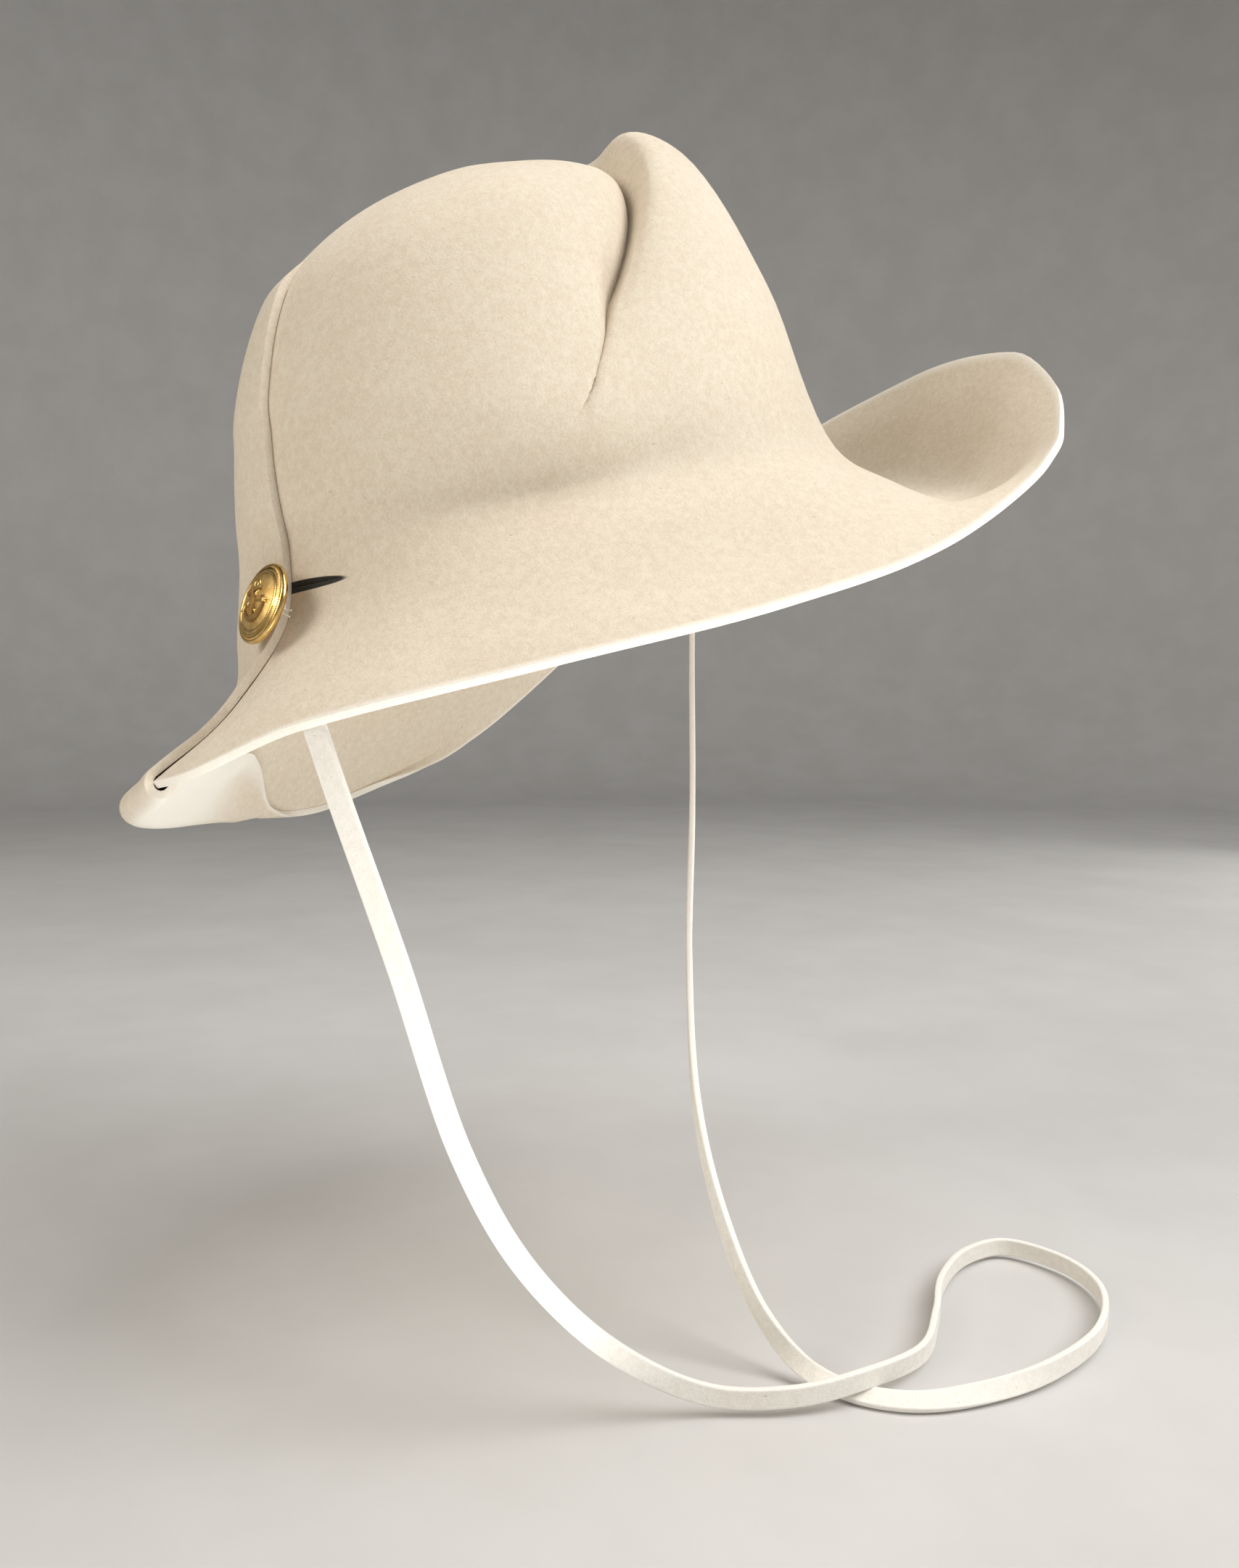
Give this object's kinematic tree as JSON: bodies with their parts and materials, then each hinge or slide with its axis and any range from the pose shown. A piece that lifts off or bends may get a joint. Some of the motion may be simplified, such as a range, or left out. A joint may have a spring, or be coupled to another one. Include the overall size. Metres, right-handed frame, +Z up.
{
  "type": "felt hat with chin strap",
  "caption": "Soft felt hat with a folded crown, a lapped front closed by a domed metal button, a turned-up back brim and a felt chin strap.",
  "frame": {"origin": "centre of the head opening, at the line where the hat sits on the head", "axes": "-Y towards the lapped and buttoned end, here called the front; +X to the wearer's left; +Z up. The hat tips 14 degrees, front down and back up, as it stands in the picture"},
  "size_m": [0.2631, 0.3045, 0.3929],
  "materials": {
    "felt": "matte felt",
    "button": "polished",
    "strap": "matte felt"
  },
  "bodies": {
    "root": {"felt_body": "felt", "button": "button", "chin_strap": "strap"}
  },
  "joints": []
}
